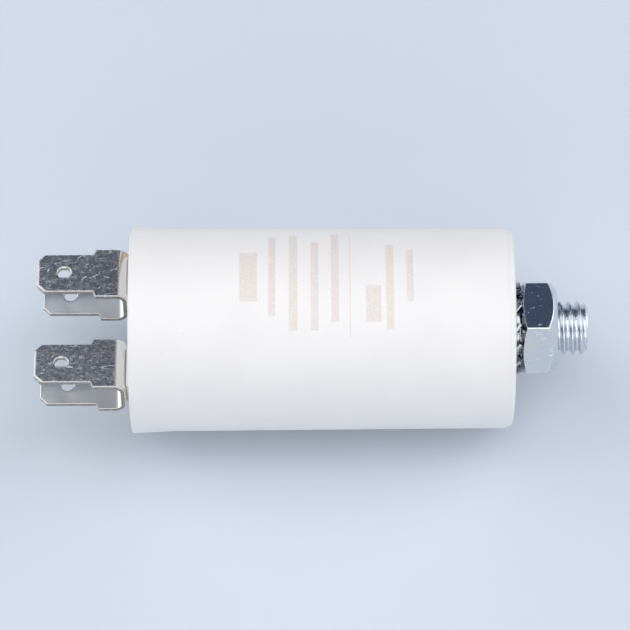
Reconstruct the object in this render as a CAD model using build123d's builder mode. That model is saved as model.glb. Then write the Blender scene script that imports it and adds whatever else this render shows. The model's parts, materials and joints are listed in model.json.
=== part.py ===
from build123d import *
import os
from math import asin, atan2, cos, hypot, isclose, pi, radians, sin, sqrt, tan

# Motor run capacitor: a plastic can with a moulded-in stud and two double push-on terminals
# Lengths are in millimetres, and the can lies on its side
# +X runs along the can from the terminals to the stud, and +Z is up
# A station is a distance along the axis from the can's mouth, positive towards the stud

# Can
can_length = 55.0
mouth_radius = 15.0
flare = 0.32
flare_length = 8.5
draft = 0.21
end_band_width = 0.9
end_band_step = 0.2
end_corner = 0.7
can_wall = 1.25
can_floor = 2.0
rim_wall = 1.1
rim_round = 0.25
boss_wall = 1.65
boss_cover = 1.0
floor_round = 0.8

# Lid and its resin seal
lid_recess = 0.6
lid_thickness = 2.2
lid_gap = 0.1
seal_width = 1.8
seal_depth = 1.0
seal_height = 0.8
seal_dip = 0.3
plinth_rise = 0.6
plinth_width = 6.4
plinth_depth = 5.4
plinth_round = 0.8

# Terminals, each one strip bent to a U with a push-on tab at either end
plinth_margin = 1.25
sheet = 0.8
leg_spacing = 6.1
top_reach = 13.8
bottom_reach = 13.2
tab_width = 6.3
tab_length = 8.2
tab_corner = 1.0
tab_bevel = 0.2
tab_hole_inset = 3.9
tab_hole_radius = 0.9
tab_hole_bevel = 0.22
root_width = 8.0
shoulder_round = 0.4
shoulder_share = 0.48
bend_radius = 1.0

# Rivets and the solder lugs under the lid
rivet_radius = 1.1
rivet_head_clearance = 0.05
rivet_head_height = 0.9
rivet_tail_radius = 1.9
rivet_tail_height = 0.7
rivet_tail_bevel = 0.2
rivet_bore_radius = 0.6
rivet_bore_depth = 2.2
lug_radius = 3.0
lug_tail_width = 3.0
lug_reach = 4.25
lug_sheet = 0.5

# Lead wires
wire_radius = 0.4
wire_bend = 1.5
wire_end_bend = 1.0
wire_foot = 4.0
sleeve_radius = 0.85
sleeve_setback = 0.7
sleeve_back_off = 1.8
wire_drop = 2.1
wire_clearance = 1.7

# Winding
near_clearance = 6.3
far_clearance = 3.0
end_metal = 0.8
core_bore_radius = 1.5
core_radius = 2.4
wrap_thickness = 0.2
resin_gap = 0.4
bond_gap = 0.03
resin_cover = 3.6

# Stud, lock washer and nut, M8
stud_radius = 3.95
stud_reach = 10.8
stud_end_bevel = 0.7
stud_head_flats = 11.0
stud_head_height = 2.4
thread_mesh = 0.356
washer_height = 1.2
washer_sheet = 0.5
washer_radius = 6.7
washer_clearance = 0.25
washer_ring_radius = 5.4
washer_teeth = 14
tooth_width = 1.3
tooth_root = 0.15
tooth_turn_length = 0.35
washer_turn = 19
nut_flats = 13.0
nut_height = 5.2
nut_face_radius = 6.0
nut_chamfer_angle = 25
nut_end_radius = 5.7
nut_end_chamfer_angle = 38
nut_mouth_relief = 0.3
nut_turn = 2

# Places that follow from the sizes above
overall_length = max(top_reach, bottom_reach) + can_length + stud_reach
mouth_x = max(top_reach, bottom_reach) - overall_length / 2
axis_z = mouth_radius
mouth_centre = (mouth_x, 0, axis_z)
can_axis = Axis(mouth_centre, (1, 0, 0))
half_section = Plane(origin=mouth_centre, x_dir=(1, 0, 0), z_dir=(0, -1, 0))
level_section = Plane(origin=mouth_centre, x_dir=(1, 0, 0), z_dir=(0, 0, 1))

barrel_radius = mouth_radius - flare
barrel_end_radius = barrel_radius - draft
recess_radius = mouth_radius - rim_wall
ledge = lid_recess + lid_thickness
bore_radius = barrel_radius - can_wall
bore_end_radius = barrel_end_radius - can_wall
boss_radius = stud_head_flats / sqrt(3) + boss_wall
floor = can_length - can_floor
head_face = floor - stud_head_height
boss_face = head_face - boss_cover
seal_radius = recess_radius - seal_width
seal_floor = lid_recess + seal_depth
terminal_y = seal_radius - plinth_margin - plinth_width / 2
terminal_places = {"back": terminal_y, "front": -terminal_y}
base_face = -plinth_rise
base_inside = base_face - sheet
lug_face = ledge + lug_sheet
lug_hole_y = terminal_y - lug_reach
rivet_head_radius = leg_spacing / 2 - sheet / 2 - bend_radius - rivet_head_clearance
winding_start = lug_face + near_clearance
winding_end = boss_face - far_clearance
winding_length = winding_end - winding_start
resin_level = winding_start - resin_cover
winding_radius = bore_end_radius - resin_gap - wrap_thickness
wrap_radius = winding_radius + wrap_thickness
nut_face = can_length + washer_height
nut_end = nut_face + nut_height
stud_end = can_length + stud_reach
thread_pitch_radius = stud_radius - thread_mesh
washer_bore_radius = stud_radius + washer_clearance
nut_mouth_radius = stud_radius + nut_mouth_relief


# The plane across the axis at a station, with Y to its right and Z up
def across(station):
    return Plane(origin=(mouth_x + station, 0, axis_z), x_dir=(0, 1, 0), z_dir=(1, 0, 0))


# Each piece is named and written here
def save(piece, name):
    piece.label = name
    export_step(piece, f"parts/{name}.step")


os.makedirs("parts", exist_ok=True)

# Can: flared mouth with a ledge for the lid, drafted barrel, closed end with a narrow band
band_start = can_length - end_band_width
band_radius = barrel_end_radius - end_band_step
with BuildPart() as can:
    with BuildSketch(half_section):
        with BuildLine():
            barrel = Line((band_start, barrel_end_radius), (flare_length, barrel_radius))
            mouth = TangentArc(barrel @ 1, (0, mouth_radius), tangent=barrel % 1)
            Polyline(
                mouth @ 1,
                (0, recess_radius),
                (ledge, recess_radius),
                (ledge, bore_radius),
                (floor, bore_end_radius),
                (floor, boss_radius),
                (boss_face, boss_radius),
                (boss_face, 0),
                (can_length, 0),
                (can_length, band_radius),
                (band_start, band_radius),
                barrel @ 0,
            )
        make_face()
    revolve(axis=can_axis)
    fillet(can.edges().group_by(Axis.X)[0], rim_round)
    fillet(can.edges().group_by(Axis.X)[-1], end_corner)
    inner_floor = can.faces().filter_by(Plane.YZ).filter_by(
        lambda face: isclose(face.center().X, mouth_x + floor, abs_tol=0.01)
    )
    fillet(inner_floor.edges(), floor_round)
    with BuildSketch(across(head_face)):
        RegularPolygon(stud_head_flats / 2, 6, major_radius=False)
    extrude(amount=stud_head_height, mode=Mode.SUBTRACT)
    with BuildSketch(across(floor)):
        Circle(stud_radius)
    extrude(amount=can_floor, mode=Mode.SUBTRACT)
save(can.part, "can")

# Lid: a disc on the can's ledge, grooved round its edge, with a plinth under each terminal
with BuildPart() as lid:
    with BuildSketch(half_section):
        with BuildLine():
            Polyline(
                (lid_recess, 0),
                (lid_recess, seal_radius),
                (seal_floor, seal_radius),
                (seal_floor, recess_radius - lid_gap),
                (ledge, recess_radius - lid_gap),
                (ledge, 0),
                close=True,
            )
        make_face()
    revolve(axis=can_axis)
    with BuildSketch(across(base_face)):
        with Locations([(place, 0) for place in terminal_places.values()]):
            RectangleRounded(plinth_width, plinth_depth, plinth_round)
    extrude(amount=plinth_rise + ledge)
    with BuildSketch(across(base_face)):
        with Locations([(place, 0) for place in terminal_places.values()]):
            Circle(rivet_radius)
    extrude(amount=plinth_rise + ledge, mode=Mode.SUBTRACT)
save(lid.part, "lid")

# Seal: a bead of resin in the groove, drawn up against the lid and higher against the can
with BuildPart() as lid_seal:
    with BuildSketch(half_section):
        with BuildLine():
            bead = ThreePointArc(
                (seal_floor - seal_height, seal_radius),
                (seal_floor - seal_height + seal_dip, seal_radius + seal_width / 2),
                (seal_floor - seal_height, recess_radius),
            )
            Polyline(bead @ 1, (seal_floor, recess_radius), (seal_floor, seal_radius), bead @ 0)
        make_face()
    revolve(axis=can_axis)
save(lid_seal.part, "lid_seal")

# Terminals, rivets and solder lugs, one set for each pole
base_middle = base_face - sheet / 2
leg_z = leg_spacing / 2
shoulder_fillet = min(shoulder_round, shoulder_share * (root_width - tab_width) / 2)
for side, place in terminal_places.items():
    middle = (mouth_x, place, axis_z)
    upright = Plane(origin=middle, x_dir=(1, 0, 0), z_dir=(0, -1, 0))
    legs = {leg_z: top_reach, -leg_z: bottom_reach}

    with BuildPart() as terminal:
        with BuildSketch(upright):
            with BuildLine():
                FilletPolyline(
                    (shoulder_round + tab_length - top_reach, leg_z),
                    (base_middle, leg_z),
                    (base_middle, -leg_z),
                    (shoulder_round + tab_length - bottom_reach, -leg_z),
                    radius=bend_radius + sheet / 2,
                )
            trace(line_width=sheet)
        extrude(amount=root_width / 2, both=True)
        for height, reach in legs.items():
            shoulder = tab_length - reach
            underside = Plane(origin=middle, x_dir=(1, 0, 0), z_dir=(0, 0, 1)).offset(height - sheet / 2)
            with BuildSketch(underside) as tab:
                with BuildLine():
                    edge = Polyline(
                        (-reach, 0),
                        (-reach, tab_width / 2 - tab_corner),
                        (tab_corner - reach, tab_width / 2),
                        (shoulder, tab_width / 2),
                        (shoulder, root_width / 2),
                        (shoulder + 2 * shoulder_round, root_width / 2),
                        (shoulder + 2 * shoulder_round, 0),
                    )
                    mirror(edge, about=Plane.XZ)
                make_face()
                fillet(tab.vertices().group_by(Axis.X)[2], shoulder_fillet)
                with Locations((tab_hole_inset - reach, 0)):
                    Circle(tab_hole_radius, mode=Mode.SUBTRACT)
            extrude(amount=sheet)
        tip_edges = terminal.edges().filter_by(Plane.XY).filter_by(
            lambda edge: edge.center().X < mouth_x + tab_corner - bottom_reach
        )
        chamfer(tip_edges.filter_by(GeomType.LINE), tab_bevel)
        chamfer(terminal.edges().filter_by(GeomType.CIRCLE).filter_by(Plane.XY), tab_hole_bevel)
        with BuildSketch(across(base_inside)):
            with Locations((place, 0)):
                Circle(rivet_radius)
        extrude(amount=sheet, mode=Mode.SUBTRACT)
    save(terminal.part, f"terminal_{side}")

    # The rivet clamps terminal, plinth and lug, with its hollow tail rolled over the lug
    with BuildPart() as rivet:
        with BuildSketch(upright):
            with BuildLine():
                crown = Line((base_inside - rivet_head_height, 0), (
                    base_inside - rivet_head_height, rivet_head_radius - rivet_head_height))
                shoulder_arc = TangentArc(crown @ 1, (base_inside, rivet_head_radius), tangent=(0, 1))
                Polyline(
                    shoulder_arc @ 1,
                    (base_inside, rivet_radius),
                    (lug_face, rivet_radius),
                    (lug_face, rivet_tail_radius),
                    (lug_face + rivet_tail_height - rivet_tail_bevel, rivet_tail_radius),
                    (lug_face + rivet_tail_height, rivet_tail_radius - rivet_tail_bevel),
                    (lug_face + rivet_tail_height, rivet_bore_radius),
                    (lug_face + rivet_tail_height - rivet_bore_depth, rivet_bore_radius),
                    (lug_face + rivet_tail_height - rivet_bore_depth, 0),
                    crown @ 0,
                )
            make_face()
        revolve(axis=Axis(middle, (1, 0, 0)))
    save(rivet.part, f"rivet_{side}")

    # The lug's tail reaches towards the can's axis and holds the lead wire in a hole
    tail_y = lug_hole_y if place > 0 else -lug_hole_y
    with BuildPart() as lug:
        with BuildSketch(across(ledge)):
            with Locations((place, 0)):
                Circle(lug_radius)
            with Locations(((place + tail_y) / 2, 0)):
                SlotCenterToCenter(lug_reach, lug_tail_width)
            with Locations((place, 0)):
                Circle(rivet_radius, mode=Mode.SUBTRACT)
            with Locations((tail_y, 0)):
                Circle(wire_radius, mode=Mode.SUBTRACT)
        extrude(amount=lug_sheet)
    save(lug.part, f"inner_lug_{side}")

# Lead to the near end of the winding: straight down, then a foot laid in the end metal
with BuildPart() as lead_wire_back:
    with BuildLine(level_section):
        FilletPolyline(
            (ledge, lug_hole_y),
            (winding_start, lug_hole_y),
            (winding_start, lug_hole_y + wire_foot),
            radius=wire_bend,
        )
    with BuildSketch(across(ledge)):
        with Locations((lug_hole_y, 0)):
            Circle(wire_radius)
    sweep()
save(lead_wire_back.part, "lead_wire_back")

# Lead to the far end: over to the axis, through the core, then a foot in the end metal
cross_start = lug_face + wire_drop
cross_end = winding_start - wire_clearance
with BuildPart() as lead_wire_front:
    with BuildLine(level_section):
        FilletPolyline(
            (ledge, -lug_hole_y),
            (cross_start, -lug_hole_y),
            (cross_end, 0),
            (winding_end, 0),
            (winding_end, -wire_foot),
            radius=[wire_bend, wire_bend, wire_end_bend],
        )
    with BuildSketch(across(ledge)):
        with Locations((-lug_hole_y, 0)):
            Circle(wire_radius)
    sweep()
save(lead_wire_front.part, "lead_wire_front")

# Insulating sleeves on the leads
sleeve_start = lug_face + sleeve_setback
with BuildPart() as wire_sleeve_back:
    with BuildSketch(across(sleeve_start)):
        with Locations((lug_hole_y, 0)):
            Circle(sleeve_radius)
            Circle(wire_radius, mode=Mode.SUBTRACT)
    extrude(amount=winding_start - sleeve_back_off - sleeve_start)
save(wire_sleeve_back.part, "wire_sleeve_back")

with BuildPart() as wire_sleeve_front:
    with BuildLine(level_section):
        FilletPolyline(
            (sleeve_start, -lug_hole_y),
            (cross_start, -lug_hole_y),
            (cross_end, 0),
            (winding_end - sleeve_back_off, 0),
            radius=wire_bend,
        )
    with BuildSketch(across(sleeve_start)):
        with Locations((-lug_hole_y, 0)):
            Circle(sleeve_radius)
            Circle(wire_radius, mode=Mode.SUBTRACT)
    sweep()
save(wire_sleeve_front.part, "wire_sleeve_front")

# Winding: film rolled on a tube, between two sprayed metal ends, wrapped on the outside
film_start = winding_start + end_metal
film_length = winding_length - 2 * end_metal
with BuildPart() as winding_core:
    with BuildSketch(across(film_start)):
        Circle(core_radius)
        Circle(core_bore_radius, mode=Mode.SUBTRACT)
    extrude(amount=film_length)
save(winding_core.part, "winding_core")

with BuildPart() as film_winding:
    with BuildSketch(across(film_start)):
        Circle(winding_radius)
        Circle(core_radius, mode=Mode.SUBTRACT)
    extrude(amount=film_length)
save(film_winding.part, "film_winding")

with BuildPart() as winding_wrap:
    with BuildSketch(across(winding_start)):
        Circle(wrap_radius)
        Circle(winding_radius, mode=Mode.SUBTRACT)
    extrude(amount=winding_length)
save(winding_wrap.part, "winding_wrap")

end_metals = {
    "near": (winding_start, lead_wire_back.part),
    "far": (winding_end - end_metal, lead_wire_front.part),
}
for end, (station, wire) in end_metals.items():
    with BuildPart() as metal:
        with BuildSketch(across(station)):
            Circle(winding_radius)
            Circle(core_radius, mode=Mode.SUBTRACT)
        extrude(amount=end_metal)
        add(wire, mode=Mode.SUBTRACT)
    save(metal.part, f"end_metal_{end}")

# Potting resin: fills the can round the wrapped winding, up to its level below the lid
bore_slope = (bore_radius - bore_end_radius) / (floor - ledge)
level_radius = bore_radius - bore_slope * (resin_level - ledge)
with BuildPart() as potting_resin:
    with BuildSketch(half_section):
        with BuildLine():
            Polyline(
                (resin_level, 0),
                (resin_level, level_radius),
                (floor, bore_end_radius),
                (floor, boss_radius),
                (boss_face, boss_radius),
                (boss_face, 0),
                (winding_end, 0),
                (winding_end, wrap_radius + bond_gap),
                (winding_start, wrap_radius + bond_gap),
                (winding_start, 0),
                close=True,
            )
        make_face()
    revolve(axis=can_axis)
    fillet(potting_resin.faces().sort_by(Axis.X)[-1].edges(), floor_round)
    add(lead_wire_back.part, mode=Mode.SUBTRACT)
    add(lead_wire_front.part, mode=Mode.SUBTRACT)
    add(wire_sleeve_back.part, mode=Mode.SUBTRACT)
    add(wire_sleeve_front.part, mode=Mode.SUBTRACT)
save(potting_resin.part, "potting_resin")

# Stud: hexagon head held in the can's floor, and waisted in the nut, where the threads mesh
with BuildPart() as stud:
    with BuildSketch(across(head_face)):
        RegularPolygon(stud_head_flats / 2, 6, major_radius=False)
    extrude(amount=stud_head_height)
    with BuildSketch(half_section):
        with BuildLine():
            Polyline(
                (floor, 0),
                (floor, stud_radius),
                (nut_face, stud_radius),
                (nut_face, thread_pitch_radius),
                (nut_end, thread_pitch_radius),
                (nut_end, stud_radius),
                (stud_end - stud_end_bevel, stud_radius),
                (stud_end, stud_radius - stud_end_bevel),
                (stud_end, 0),
                close=True,
            )
        make_face()
    revolve(axis=can_axis)
save(stud.part, "stud")

# Lock washer: a flat ring with teeth twisted out of its plane until they span its height
washer_middle = can_length + washer_height / 2
tooth_twist = asin(washer_height / hypot(tooth_width, washer_sheet)) - atan2(washer_sheet, tooth_width)
tooth_base = washer_ring_radius + tooth_root
tooth_sections = [
    (tooth_base, 0),
    (tooth_base + tooth_turn_length, tooth_twist),
    (washer_radius, tooth_twist),
]


# The plane across a tooth: angle round the washer, distance from its axis, and its twist
def tooth_plane(angle, distance, twist):
    outward = Vector(0, cos(angle), sin(angle))
    sideways = Vector(0, -sin(angle), cos(angle))
    return Plane(
        origin=Vector(mouth_x + washer_middle, 0, axis_z) + outward * distance,
        x_dir=sideways * cos(twist) - Vector(sin(twist), 0, 0),
        z_dir=outward,
    )


with BuildPart() as lock_washer:
    with BuildSketch(across(washer_middle - washer_sheet / 2)):
        Circle(washer_ring_radius)
        with PolarLocations((washer_bore_radius + tooth_base) / 2, washer_teeth, start_angle=washer_turn):
            Rectangle(tooth_base - washer_bore_radius, tooth_width)
        Circle(washer_bore_radius, mode=Mode.SUBTRACT)
    extrude(amount=washer_sheet)
    for tooth in range(washer_teeth):
        tooth_angle = radians(washer_turn) + tooth * 2 * pi / washer_teeth
        for distance, twist in tooth_sections:
            with BuildSketch(tooth_plane(tooth_angle, distance, twist)):
                Rectangle(tooth_width, washer_sheet)
        loft(ruled=True)
save(lock_washer.part, "lock_washer")

# Nut: a hexagon cut back at both ends by cones, and bored where the threads mesh
corner_radius = nut_flats / sqrt(3)
chamfer_rise = (corner_radius - nut_face_radius) * tan(radians(nut_chamfer_angle))
end_chamfer_rise = (corner_radius - nut_end_radius) * tan(radians(nut_end_chamfer_angle))
mouth_rise = nut_mouth_radius - thread_pitch_radius
with BuildPart() as hex_nut:
    with BuildSketch(across(nut_face)):
        RegularPolygon(nut_flats / 2, 6, major_radius=False, rotation=nut_turn)
    extrude(amount=nut_height)
    with BuildSketch(half_section):
        with BuildLine():
            Polyline(
                (nut_face, nut_mouth_radius),
                (nut_face, nut_face_radius),
                (nut_face + chamfer_rise, corner_radius),
                (nut_end - end_chamfer_rise, corner_radius),
                (nut_end, nut_end_radius),
                (nut_end, nut_mouth_radius),
                (nut_end - mouth_rise, thread_pitch_radius),
                (nut_face + mouth_rise, thread_pitch_radius),
                close=True,
            )
        make_face()
    revolve(axis=can_axis, mode=Mode.INTERSECT)
save(hex_nut.part, "hex_nut")
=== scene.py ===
import json
import math

import bmesh
import bpy
import numpy as np
from mathutils import Matrix, Vector
from mathutils.geometry import tessellate_polygon


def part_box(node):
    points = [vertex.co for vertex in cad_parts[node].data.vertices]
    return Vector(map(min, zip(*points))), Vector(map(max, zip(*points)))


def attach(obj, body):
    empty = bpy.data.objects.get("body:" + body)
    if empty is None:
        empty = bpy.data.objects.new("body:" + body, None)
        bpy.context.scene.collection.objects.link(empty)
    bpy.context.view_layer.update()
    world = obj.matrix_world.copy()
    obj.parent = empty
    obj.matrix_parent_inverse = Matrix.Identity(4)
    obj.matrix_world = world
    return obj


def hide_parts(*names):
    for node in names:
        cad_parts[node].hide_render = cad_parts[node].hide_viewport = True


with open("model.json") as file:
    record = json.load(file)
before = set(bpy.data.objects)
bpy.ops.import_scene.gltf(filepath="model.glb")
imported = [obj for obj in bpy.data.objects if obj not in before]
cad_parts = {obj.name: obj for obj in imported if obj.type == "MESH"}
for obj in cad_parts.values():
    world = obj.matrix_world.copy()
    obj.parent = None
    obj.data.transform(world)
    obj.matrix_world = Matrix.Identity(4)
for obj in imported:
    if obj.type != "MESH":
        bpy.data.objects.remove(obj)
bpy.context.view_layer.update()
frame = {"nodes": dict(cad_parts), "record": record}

# Lengths below are in millimetres unless a note says otherwise.
# A station is a distance along the can's axis from its mouth; angles round it go from +Y towards +Z.
# A metre has this many millimetres.
mm = 1000
canLow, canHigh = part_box("can")
mouthX = canLow.x * mm
axisZ = (canLow.z + canHigh.z) / 2 * mm
canLength = (canHigh.x - canLow.x) * mm
nutLow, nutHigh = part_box("hex_nut")
nutFace = nutLow.x * mm - mouthX
nutEnd = nutHigh.x * mm - mouthX
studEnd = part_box("stud")[1].x * mm - mouthX
washerMiddle = (canLength + nutFace) / 2


# Nodes
# One socket of a node tree: arithmetic on it adds Math nodes
class Wire:
    def __init__(self, tree, socket):
        self.tree, self.socket = tree, socket

    def maths(self, operation, *others):
        return self.tree.maths(operation, self, *others)

    def __add__(self, other):
        return self.maths("ADD", other)

    def __sub__(self, other):
        return self.maths("SUBTRACT", other)

    def __rsub__(self, other):
        return self.tree.maths("SUBTRACT", other, self)

    def __mul__(self, other):
        return self.maths("MULTIPLY", other)

    def __truediv__(self, other):
        return self.maths("DIVIDE", other)

    def __rtruediv__(self, other):
        return self.tree.maths("DIVIDE", other, self)

    def __gt__(self, other):
        return self.maths("GREATER_THAN", other)

    def __lt__(self, other):
        return self.maths("LESS_THAN", other)

    __radd__ = __add__
    __rmul__ = __mul__

    # 0 below low, 1 above high, eased between
    def ease(self, low, high):
        return self.tree.add("ShaderNodeMapRange", {"interpolation_type": "SMOOTHSTEP"},
                             {0: self, 1: low, 2: high, 3: 0.0, 4: 1.0})

    # 1 within half a width of the centre, else 0
    def near(self, centre, half):
        return self.maths("COMPARE", centre, half)


class Tree:
    def __init__(self, nodeTree):
        self.nodeTree = nodeTree

    # a node with its settings, and with its inputs set to values or joined to wires
    def add(self, kind, settings=None, values=None, out=0):
        node = self.nodeTree.nodes.new(kind)
        for key, setting in (settings or {}).items():
            setattr(node, key, setting)
        for key, value in (values or {}).items():
            socket = node.inputs[key] if isinstance(key, int) else next(
                s for s in node.inputs if key in (s.identifier, s.name) and s.enabled)
            if isinstance(value, Wire):
                self.nodeTree.links.new(value.socket, socket)
            else:
                socket.default_value = value
        if not len(node.outputs):
            return None
        if isinstance(out, str):
            return Wire(self, next(s for s in node.outputs if out in (s.identifier, s.name) and s.enabled))
        return Wire(self, node.outputs[out])

    def maths(self, operation, *values):
        return self.add("ShaderNodeMath", {"operation": operation}, dict(enumerate(values)))

    def point(self, *coordinates):
        return self.add("ShaderNodeCombineXYZ", None, dict(enumerate(coordinates)))

    def blend(self, share, first, second):
        first, second = ((*c, 1) if isinstance(c, tuple) else c for c in (first, second))
        return self.add("ShaderNodeMix", {"data_type": "RGBA"},
                        {"Factor_Float": share, "A_Color": first, "B_Color": second}, "Result_Color")

    def noise(self, place, scale, detail=3, rough=0.55, twist=0.0):
        return self.add("ShaderNodeTexNoise", None, {
            "Vector": place, "Scale": scale, "Detail": detail, "Roughness": rough, "Distortion": twist})

    # the place on the piece, in millimetres from a centre, stretched or turned for grain
    def placeOn(self, centre=(0, 0, 0), stretch=(1, 1, 1), turn=(0, 0, 0)):
        place = self.add("ShaderNodeTexCoord", out="Object")
        centred = self.add("ShaderNodeMapping", None, {
            "Vector": place, "Scale": (mm, mm, mm), "Location": tuple(-c for c in centre)})
        if stretch == (1, 1, 1) and turn == (0, 0, 0):
            return centred
        return self.add("ShaderNodeMapping", None, {"Vector": centred, "Rotation": turn, "Scale": stretch})

    def split(self, place):
        node = self.nodeTree.nodes.new("ShaderNodeSeparateXYZ")
        self.nodeTree.links.new(place.socket, node.inputs[0])
        return [Wire(self, s) for s in node.outputs]

    def bump(self, height, strength, depth):
        return self.add("ShaderNodeBump", None, {
            "Height": height, "Strength": strength, "Distance": depth / mm})


def newMaterial(name, **fixed):
    material = bpy.data.materials.new(name)
    material.use_nodes = True
    material.node_tree.nodes.clear()
    tree = Tree(material.node_tree)
    surface = tree.add("ShaderNodeBsdfPrincipled", None, {
        key.replace("_", " "): (*value, 1) if isinstance(value, tuple) and len(value) == 3 else value
        for key, value in fixed.items()})
    tree.add("ShaderNodeOutputMaterial", None, {"Surface": surface})
    return material, tree, surface.socket.node


def drive(tree, shader, colour, rough, normal):
    for key, wire in (("Base Color", colour), ("Roughness", rough), ("Normal", normal)):
        tree.nodeTree.links.new(wire.socket, shader.inputs[key])


# Materials: a texture's scale is per millimetre, a bump's depth in millimetres
mouthCentre = (mouthX, 0, axisZ)
plasticLook = {
    "colour": (0.90, 0.875, 0.845), "shade": (0.875, 0.85, 0.825), "ink": (0.77, 0.685, 0.615),
    "inkShare": 0.8, "speck": (0.62, 0.57, 0.52), "speckShare": 0.4, "speckScale": 1.6, "roughness": 0.44,
    "cloudScale": 0.11, "grainScale": 1.9, "flowScale": 0.55, "flowStretch": (0.05, 1, 1), "bumpDepth": 0.012,
}
# Plain bars on top of the can: station, width, then start and length round the can from markArcStart
markBars = [
    (15.8, 2.5, -4.6, 8.2), (19.9, 1.0, -8.8, 14.6), (22.8, 1.25, -9.4, 17.2),
    (25.9, 1.1, -7.2, 15.0), (28.8, 1.1, -9.8, 16.4), (31.4, 0.16, -9.8, 18.6),
    (33.7, 2.2, 1.2, 5.4), (36.6, 1.1, -6.6, 14.2), (39.5, 1.0, -5.2, 8.8),
]
markArcStart, markArcRadius = math.radians(92), 14.6


def whitePlastic(name, marked=False):
    look = plasticLook
    material, tree, shader = newMaterial(name, IOR=1.49, Specular_IOR_Level=0.42)
    place = tree.placeOn(mouthCentre)
    cloud = tree.noise(place, look["cloudScale"], 2)
    grain = tree.noise(place, look["grainScale"], 4, 0.6)
    flow = tree.noise(tree.placeOn(mouthCentre, look["flowStretch"]), look["flowScale"], 3)
    specks = tree.noise(place, look["speckScale"], 1, 0.5)
    colour = tree.blend(cloud.ease(0.35, 0.7), look["colour"], look["shade"])
    colour = tree.blend(specks.ease(0.79, 0.81) * look["speckShare"], colour, look["speck"])
    rough = look["roughness"] - 0.05 + grain * 0.10
    if marked:
        station, across, up = tree.split(place)
        arc = (up.maths("ARCTAN2", across) - markArcStart) * markArcRadius
        mask = None
        for start, width, first, length in markBars:
            bar = station.near(start + width / 2, width / 2) * arc.near(first + length / 2, length / 2)
            mask = bar if mask is None else mask.maths("MAXIMUM", bar)
        mask = mask * (0.62 + 0.38 * tree.noise(place, 2.6, 3).ease(0.36, 0.6))
        colour = tree.blend(mask * look["inkShare"], colour, look["ink"])
        rough = rough - mask * 0.06
    drive(tree, shader, colour, rough, tree.bump(grain * 0.6 + flow * 1.4, 0.35, look["bumpDepth"]))
    return material


resinLook = {
    "colour": (0.78, 0.66, 0.46), "dark": (0.66, 0.53, 0.34), "roughness": 0.3,
    "cloudScale": 0.35, "fineScale": 2.2, "bumpDepth": 0.08,
}


def creamResin(name):
    look = resinLook
    material, tree, shader = newMaterial(name, IOR=1.5)
    place = tree.placeOn(mouthCentre)
    cloud = tree.noise(place, look["cloudScale"], 4)
    fine = tree.noise(place, look["fineScale"], 3)
    colour = tree.blend(cloud.ease(0.3, 0.75), look["colour"], look["dark"])
    height = cloud * 2.0 + fine * 0.3
    drive(tree, shader, colour, look["roughness"] + fine * 0.15, tree.bump(height, 0.5, look["bumpDepth"]))
    return material


tabLook = {
    "bright": (0.67, 0.662, 0.65), "dull": (0.50, 0.505, 0.51), "stain": (0.55, 0.50, 0.44),
    "fleck": (0.93, 0.92, 0.89), "polished": (0.90, 0.89, 0.875), "cut": (0.86, 0.80, 0.70),
    "cutDark": (0.24, 0.215, 0.19), "polishedFrom": (-2.1, -1.8), "insideClean": 0.8,
    "wornScale": 1.5, "stainScale": 0.3, "fleckScale": 3.4, "shearScale": 1.5,
    "shearStretch": (1.4, 2.6, 2.6), "scratchScale": 0.42, "scratchWidth": 0.011, "bumpDepth": 0.016,
}


# Tinned strip: mottled and flecked outside, cleaner inside the U, bright in its bends, rough where sheared,
# with a painted highlight on the sheared edges that run across the strip
def tinnedStrip(name):
    look = tabLook
    material, tree, shader = newMaterial(name, Metallic=1.0)
    place = tree.placeOn(mouthCentre)
    station = tree.split(place)[0]
    cut = tree.add("ShaderNodeAttribute", {"attribute_name": "cut"}, None, "Fac")
    inside = tree.add("ShaderNodeAttribute", {"attribute_name": "inside"}, None, "Fac")
    clean = station.ease(*look["polishedFrom"]).maths("MAXIMUM", inside * look["insideClean"])
    worn = tree.noise(place, look["wornScale"], 5, 0.6, 0.4).ease(0.32, 0.80)
    stained = tree.noise(place, look["stainScale"], 2).ease(0.52, 0.7)
    fleck = tree.noise(place, look["fleckScale"], 2, 0.6, 0.8).ease(0.64, 0.69)
    marks = scratches(tree, mouthCentre, look["scratchScale"], look["scratchWidth"])
    bright = fleck.maths("MAXIMUM", marks) * (1 - clean)
    colour = tree.blend(worn, look["dull"], look["bright"])
    colour = tree.blend(stained * 0.5, colour, look["stain"])
    colour = tree.blend(bright * 0.75, colour, look["fleck"])
    colour = tree.blend(clean, colour, look["polished"])
    shearPlace = tree.placeOn(mouthCentre, look["shearStretch"])
    shear = tree.noise(shearPlace, look["shearScale"], 4, 0.7).ease(0.36, 0.62)
    onCut = cut.ease(0.0, 0.3)
    # on sheared edges the cut value also sets a painted highlight: full on edges across the strip, dimmer on
    # those along it
    colour = tree.blend(onCut, colour, tree.blend(shear * cut, look["cutDark"], look["cut"]))
    rough = (0.25 + worn * 0.06 + bright * 0.28) * (1 - clean) + clean * (0.07 + inside * 0.22)
    rough = rough * (1 - onCut) + onCut * (0.36 + shear * 0.2)
    height = (worn * 0.5 + fleck * 0.5 - marks * 0.5 + shear * cut * 0.7) * (1 - clean * 0.9)
    drive(tree, shader, colour, rough, tree.bump(height, 0.26, look["bumpDepth"]))
    return material


# The slants of scratches: how far each set is turned, and how its cells are stretched
scratchSlants = [(0.7, (0.16, 1.0, 1.0)), (-0.45, (0.12, 0.8, 0.8)), (2.2, (0.2, 1.3, 1.3))]


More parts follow.
